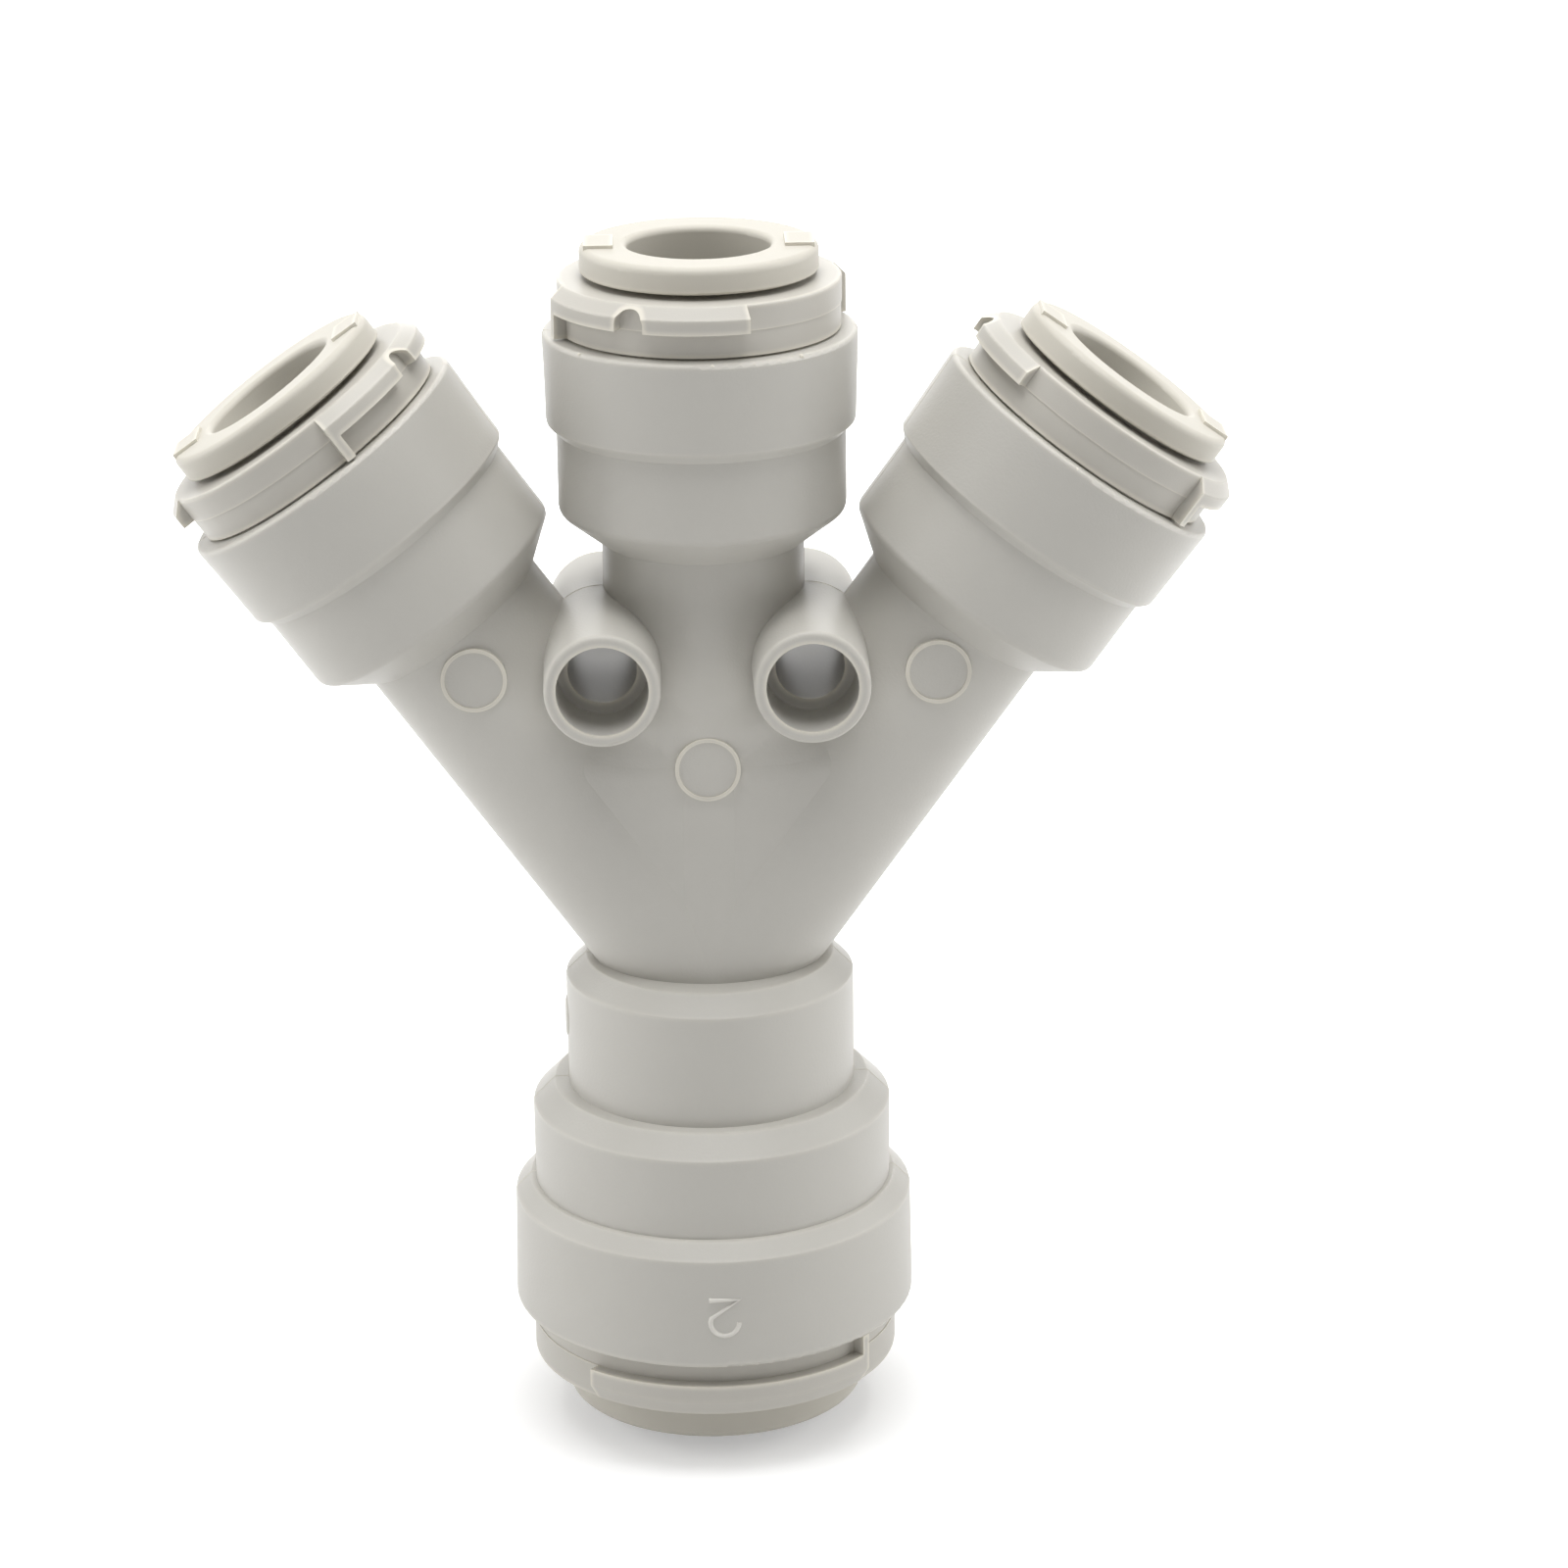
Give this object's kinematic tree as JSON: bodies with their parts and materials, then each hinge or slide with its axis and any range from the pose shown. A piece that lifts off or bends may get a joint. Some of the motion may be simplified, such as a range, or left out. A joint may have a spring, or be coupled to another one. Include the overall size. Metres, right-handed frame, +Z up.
{
  "type": "push-fit tube divider",
  "caption": "Moulded push-fit fitting: a stepped trunk with a large tube socket forks into smaller sockets, each with a retaining cap and a sliding release collet; screw bosses in the web.",
  "frame": {"origin": "on the floor, at the centre of the inlet collet's outer face, on which the fitting stands", "axes": "+Z up through the inlet and the middle outlet; +X towards the right-hand outlet; -Y is the front, where the screw bosses stand furthest out"},
  "size_m": [0.049, 0.0194, 0.0572],
  "materials": {
    "housing": "matte",
    "cap": "matte",
    "collet": "matte",
    "teeth": "satin",
    "seal": "matte"
  },
  "bodies": {
    "divider": {"body": "housing", "retaining_cap_inlet": "cap", "retaining_cap_left": "cap", "retaining_cap_middle": "cap", "retaining_cap_right": "cap", "o_ring_inlet": "seal", "o_ring_left": "seal", "o_ring_middle": "seal", "o_ring_right": "seal"},
    "collet_inlet": {"release_collet_inlet": "collet", "grip_teeth_inlet": "teeth"},
    "collet_left": {"release_collet_left": "collet", "grip_teeth_left": "teeth"},
    "collet_middle": {"release_collet_middle": "collet", "grip_teeth_middle": "teeth"},
    "collet_right": {"release_collet_right": "collet", "grip_teeth_right": "teeth"}
  },
  "joints": [
    {"name": "inlet_collet_slide", "type": "slide", "parent": "divider", "child": "collet_inlet", "axis": [0, 0, -1], "range_m": [-0.00025, 0.0011]},
    {"name": "left_collet_slide", "type": "slide", "parent": "divider", "child": "collet_left", "axis": [-0.5821, 0, 0.8131], "range_m": [-0.00025, 0.0011]},
    {"name": "middle_collet_slide", "type": "slide", "parent": "divider", "child": "collet_middle", "axis": [0, 0, 1], "range_m": [-0.00025, 0.0011]},
    {"name": "right_collet_slide", "type": "slide", "parent": "divider", "child": "collet_right", "axis": [0.5821, 0, 0.8131], "range_m": [-0.00025, 0.0011]}
  ]
}
